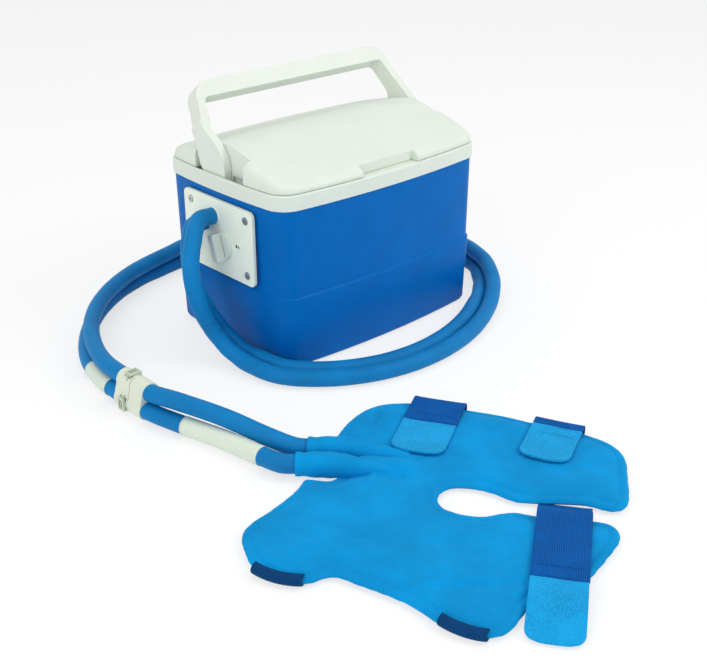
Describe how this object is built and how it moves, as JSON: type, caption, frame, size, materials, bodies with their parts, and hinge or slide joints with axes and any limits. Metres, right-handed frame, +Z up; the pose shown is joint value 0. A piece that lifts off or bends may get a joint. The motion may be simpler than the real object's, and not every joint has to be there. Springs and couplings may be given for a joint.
{
  "type": "hot cold therapy machine",
  "caption": "Lidded cooler with carry handle, end control plate and inner pump, joined by a twin hose and coupling to a strapped knee pad.",
  "frame": {"origin": "on the floor, at the centre of the cooler's base", "axes": "+X along the cooler away from its control plate, +Y to its back, +Z up; the pad lies towards -X and -Y"},
  "size_m": [0.5314, 0.6938, 0.2451],
  "materials": {
    "shell_blue": "moulded, semi-gloss",
    "foam": "rigid insulating foam",
    "liner_white": "smooth moulded",
    "cooler_white": "finely grained moulded",
    "plate_ivory": "satin sheet",
    "seal_rubber": "soft matte",
    "screw_steel": "plain zinc plated",
    "grey_plastic": "moulded",
    "black_plastic": "moulded",
    "cable_black": "cable jacket",
    "winding_copper": "enamelled wire",
    "pipe_clear": "clear flexible tube",
    "hose_blue": "foam sleeve",
    "coupling_white": "moulded",
    "label_white": "bare wrap label",
    "knob_white": "moulded",
    "magnet_black": "sintered ferrite",
    "handle_white": "moulded",
    "pad_blue": "brushed cloth over welded bladder",
    "strap_navy": "woven elastic",
    "tab_blue": "loop cloth"
  },
  "bodies": {
    "cooler": {"body_shell": "shell_blue", "insulation_foam": "foam", "liner_tub": "liner_white", "collar": "cooler_white", "end_plate": "plate_ivory", "plate_gasket": "seal_rubber", "plate_screws": "screw_steel", "clamp_plate": "grey_plastic", "screw_nuts": "screw_steel", "hose_gland": "plate_ivory", "valve_body": "grey_plastic", "power_socket": "black_plastic", "socket_nut": "screw_steel", "pump_lead": "cable_black", "pump_housing": "black_plastic", "pump_cover": "black_plastic", "motor_windings": "winding_copper", "suction_strainer": "black_plastic", "pump_feet": "seal_rubber", "supply_pipe": "pipe_clear", "delivery_pipe": "pipe_clear", "return_pipe": "pipe_clear", "pipe_clamps": "screw_steel", "hose_supply": "hose_blue", "hose_return": "hose_blue", "coupling_socket": "coupling_white", "latch_springs": "screw_steel", "hose_label": "label_white"},
    "knob": {"flow_knob": "knob_white", "valve_spindle": "grey_plastic", "knob_screw": "screw_steel"},
    "pump_rotor": {"impeller": "liner_white", "impeller_shaft": "screw_steel", "rotor_magnet": "magnet_black"},
    "lid": {"lid_shell": "cooler_white", "lid_foam": "foam", "lid_pan": "liner_white", "lid_seal": "seal_rubber", "handle_pins": "screw_steel"},
    "handle_bail": {"handle": "handle_white"},
    "latch_a": {"latch_button_a": "grey_plastic"},
    "latch_b": {"latch_button_b": "grey_plastic"},
    "pad_set": {"coupling_plug": "coupling_white", "plug_seals": "seal_rubber", "pad_hose_supply": "hose_blue", "pad_hose_return": "hose_blue", "pad_label": "label_white", "port_boots": "pad_blue", "pad": "pad_blue", "top_left_strap": "strap_navy", "top_left_tab": "tab_blue", "top_right_strap": "strap_navy", "top_right_tab": "tab_blue", "right_strap": "strap_navy", "right_tab": "tab_blue", "lower_left_strap": "strap_navy", "lower_strap": "strap_navy"}
  },
  "joints": [
    {"name": "knob_turn", "type": "hinge", "parent": "cooler", "child": "knob", "pos_m": [-0.13, -0.007, 0.106], "axis": [1, 0, 0], "range_deg": [-83, 117]},
    {"name": "pump_spin", "type": "hinge", "parent": "cooler", "child": "pump_rotor", "pos_m": [-0.086, -0.007, 0.044], "axis": [0, 1, 0], "continuous": true},
    {"name": "lid_lift", "type": "slide", "parent": "cooler", "child": "lid", "axis": [0, 0, 1], "range_m": [0, 0.08]},
    {"name": "handle_swing", "type": "hinge", "parent": "lid", "child": "handle_bail", "pos_m": [0, 0, 0.163], "axis": [1, 0, 0], "range_deg": [0, 72]},
    {"name": "latch_press_a", "type": "slide", "parent": "cooler", "child": "latch_a", "axis": [0, 0, -1], "range_m": [0, 0.002], "stiffness_N_per_m": 600, "springref_m": -0.002},
    {"name": "latch_press_b", "type": "slide", "parent": "cooler", "child": "latch_b", "axis": [1, 0, 0], "range_m": [0, 0.002], "stiffness_N_per_m": 600, "springref_m": -0.002},
    {"name": "pad_unplug", "type": "slide", "parent": "cooler", "child": "pad_set", "axis": [0, -1, 0], "range_m": [0, 0.04]}
  ]
}
